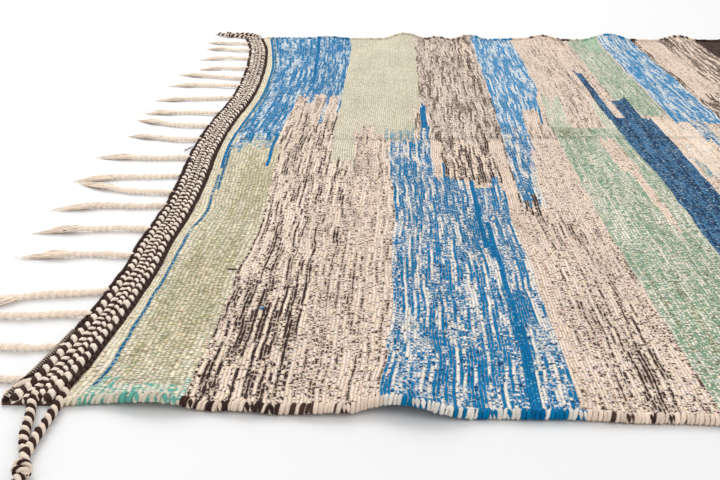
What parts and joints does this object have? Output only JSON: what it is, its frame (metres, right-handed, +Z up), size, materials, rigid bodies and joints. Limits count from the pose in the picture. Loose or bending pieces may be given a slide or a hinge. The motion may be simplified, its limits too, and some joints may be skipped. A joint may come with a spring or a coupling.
{
  "type": "rug",
  "caption": "Flat-woven wool floor rug with striped mélange field, thick selvages, twined end bands, twisted warp fringe and rope corner tassels",
  "frame": {"origin": "on the floor under the centre of the woven field, at the middle of its flat underside", "axes": "+X along the rug from its left end to its right end, +Y across it from the near selvage to the far one, +Z up from the floor"},
  "size_m": [2.6833, 1.7277, 0.0181],
  "materials": {
    "woven_wool": "weft-faced wool weave in cream, dark brown, blue, navy and green stripes",
    "twined_wool": "twined rows of cream and dark brown wool with a cream warp fringe",
    "plied_wool": "plied cream and dark brown wool rope"
  },
  "bodies": {
    "root": {"rug_field": "woven_wool", "end_band_left": "twined_wool", "end_band_right": "twined_wool", "tassel_near_left": "plied_wool", "tassel_far_left": "plied_wool", "tassel_near_right": "plied_wool", "tassel_far_right": "plied_wool"}
  },
  "joints": []
}
